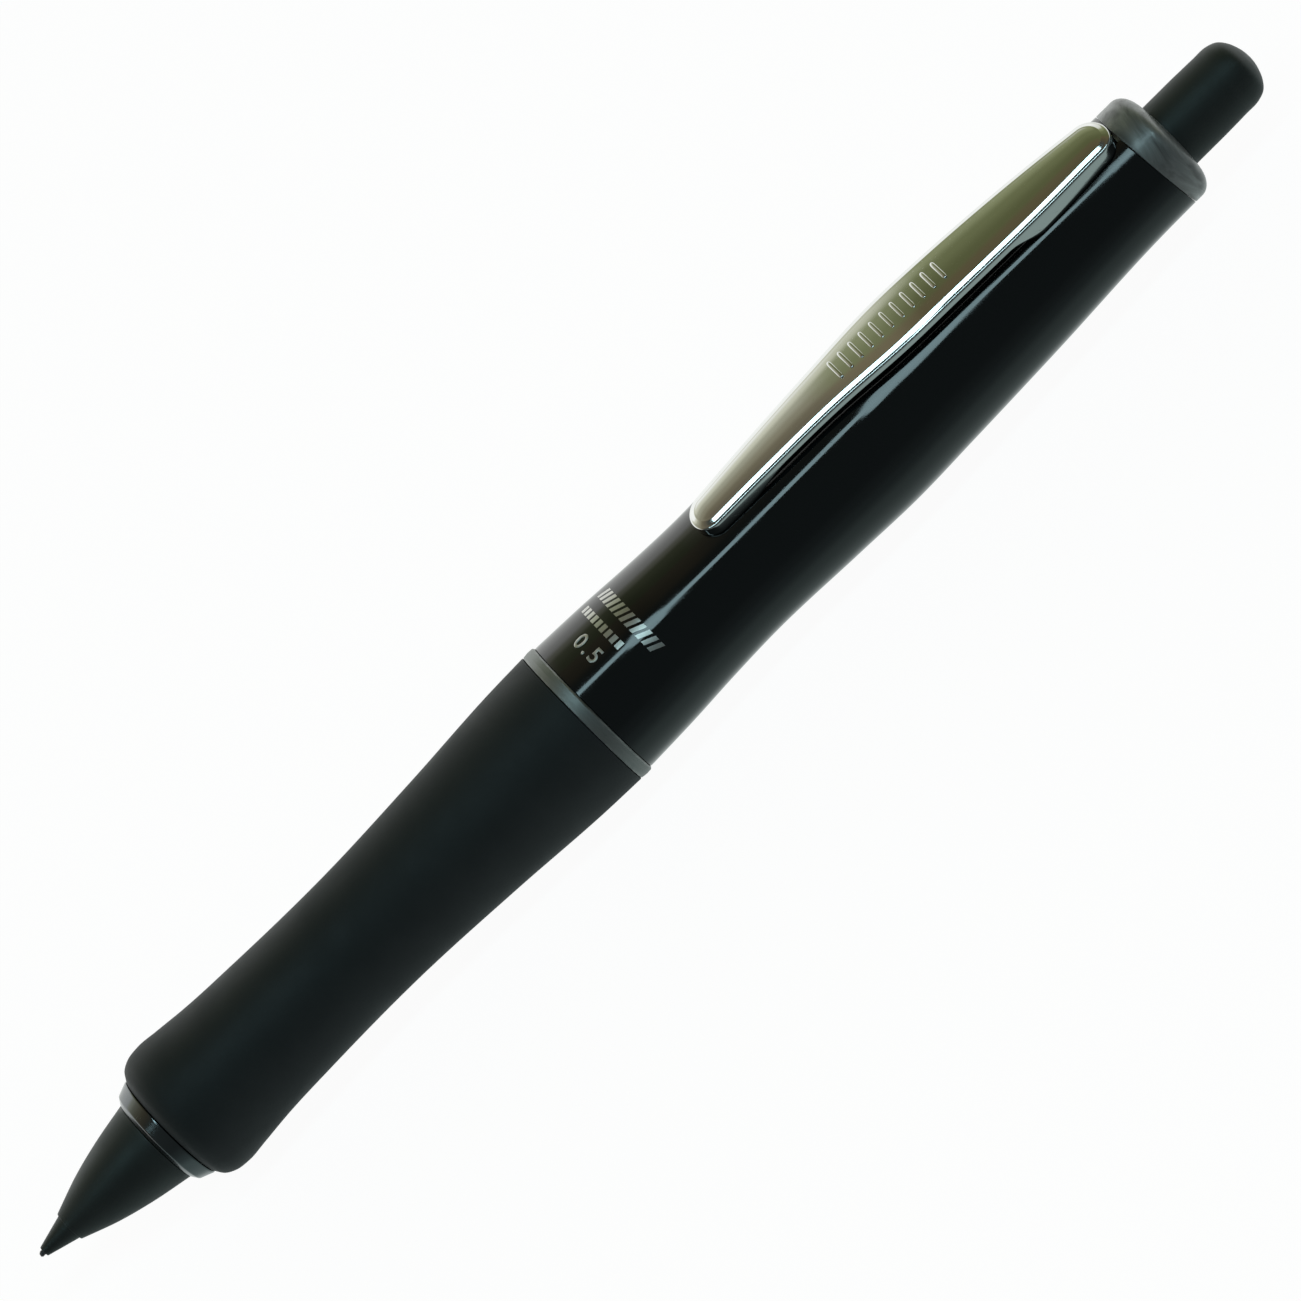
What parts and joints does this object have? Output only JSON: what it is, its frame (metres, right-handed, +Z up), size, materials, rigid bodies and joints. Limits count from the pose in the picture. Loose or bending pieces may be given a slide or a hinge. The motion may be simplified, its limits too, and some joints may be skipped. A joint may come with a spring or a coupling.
{
  "type": "mechanical pencil",
  "caption": "Fat-grip mechanical pencil with a sliding tip, a two-layer waisted grip, a sprung sheet-metal clip, a push button over an eraser and a loose shaker weight that feeds the lead.",
  "frame": {"origin": "bottom centre of the whole pencil's box as it lies on its side: the surface it lies on is z = 0", "axes": "+X along the pencil's axis from the lead tip to the push button, +Z up through the clip, +Y to the far side"},
  "size_m": [0.1384, 0.0136, 0.0152],
  "materials": {
    "black_plastic": "fine matte",
    "gloss_black": "polished, deep gloss",
    "grip_rubber": "soft matte",
    "grip_gel": "soft, dull",
    "smoky_chrome": "dark polished plating",
    "satin_grey": "satin",
    "pearl_grey": "pearly satin",
    "clip_chrome": "polished plating",
    "core_plastic": "as moulded",
    "natural_plastic": "as moulded",
    "brass": "as turned",
    "spring_steel": "bright drawn wire",
    "small_rubber": "dull",
    "eraser_white": "chalky matte",
    "graphite": "graphite sheen"
  },
  "bodies": {
    "pencil_body": {"nose_cone": "black_plastic", "nose_ring": "smoky_chrome", "grip_core": "core_plastic", "grip_cushion": "grip_gel", "grip_sleeve": "grip_rubber", "joint_ring": "satin_grey", "barrel": "gloss_black", "cap_ring": "pearl_grey", "chuck_sleeve": "natural_plastic", "return_spring": "spring_steel"},
    "feed": {"lead_tube": "natural_plastic", "chuck": "brass", "chuck_connector": "natural_plastic", "strike_collar": "natural_plastic", "eraser_holder": "natural_plastic", "eraser": "eraser_white", "spare_lead_1": "graphite", "spare_lead_2": "graphite", "spare_lead_3": "graphite"},
    "button": {"push_button": "black_plastic"},
    "clutch": {"clutch_ring": "brass"},
    "writing_lead": {"lead": "graphite"},
    "tip": {"slide_cone": "black_plastic", "lead_retainer": "small_rubber"},
    "weight": {"shaker_weight": "brass"},
    "pocket_clip": {"clip": "clip_chrome"}
  },
  "joints": [
    {"name": "knock_slide", "type": "slide", "parent": "pencil_body", "child": "feed", "axis": [-1, 0, 0], "range_m": [0, 0.004], "stiffness_N_per_m": 500, "springref_m": -0.002, "deforming": ["return_spring"]},
    {"name": "button_pull", "type": "slide", "parent": "feed", "child": "button", "axis": [1, 0, 0], "range_m": [0, 0.018]},
    {"name": "clutch_slide", "type": "slide", "parent": "pencil_body", "child": "clutch", "axis": [-1, 0, 0], "range_m": [0, 0.0006]},
    {"name": "lead_feed", "type": "slide", "parent": "pencil_body", "child": "writing_lead", "axis": [-1, 0, 0], "range_m": [0, 0.0006]},
    {"name": "tip_slide", "type": "slide", "parent": "pencil_body", "child": "tip", "axis": [1, 0, 0], "range_m": [0, 0.0024]},
    {"name": "weight_slide", "type": "slide", "parent": "pencil_body", "child": "weight", "axis": [1, 0, 0], "range_m": [0, 0.012]},
    {"name": "clip_flex", "type": "hinge", "parent": "pencil_body", "child": "pocket_clip", "pos_m": [0.05625, 0, 0.01219], "axis": [0, 1, 0], "range_deg": [0, 3], "stiffness_Nm_per_rad": 3, "springref_deg": -1.15}
  ],
  "couplings": [
    {"joint": "clutch_slide", "follows": "knock_slide", "ratio": 0.15},
    {"joint": "lead_feed", "follows": "knock_slide", "ratio": 0.15}
  ]
}
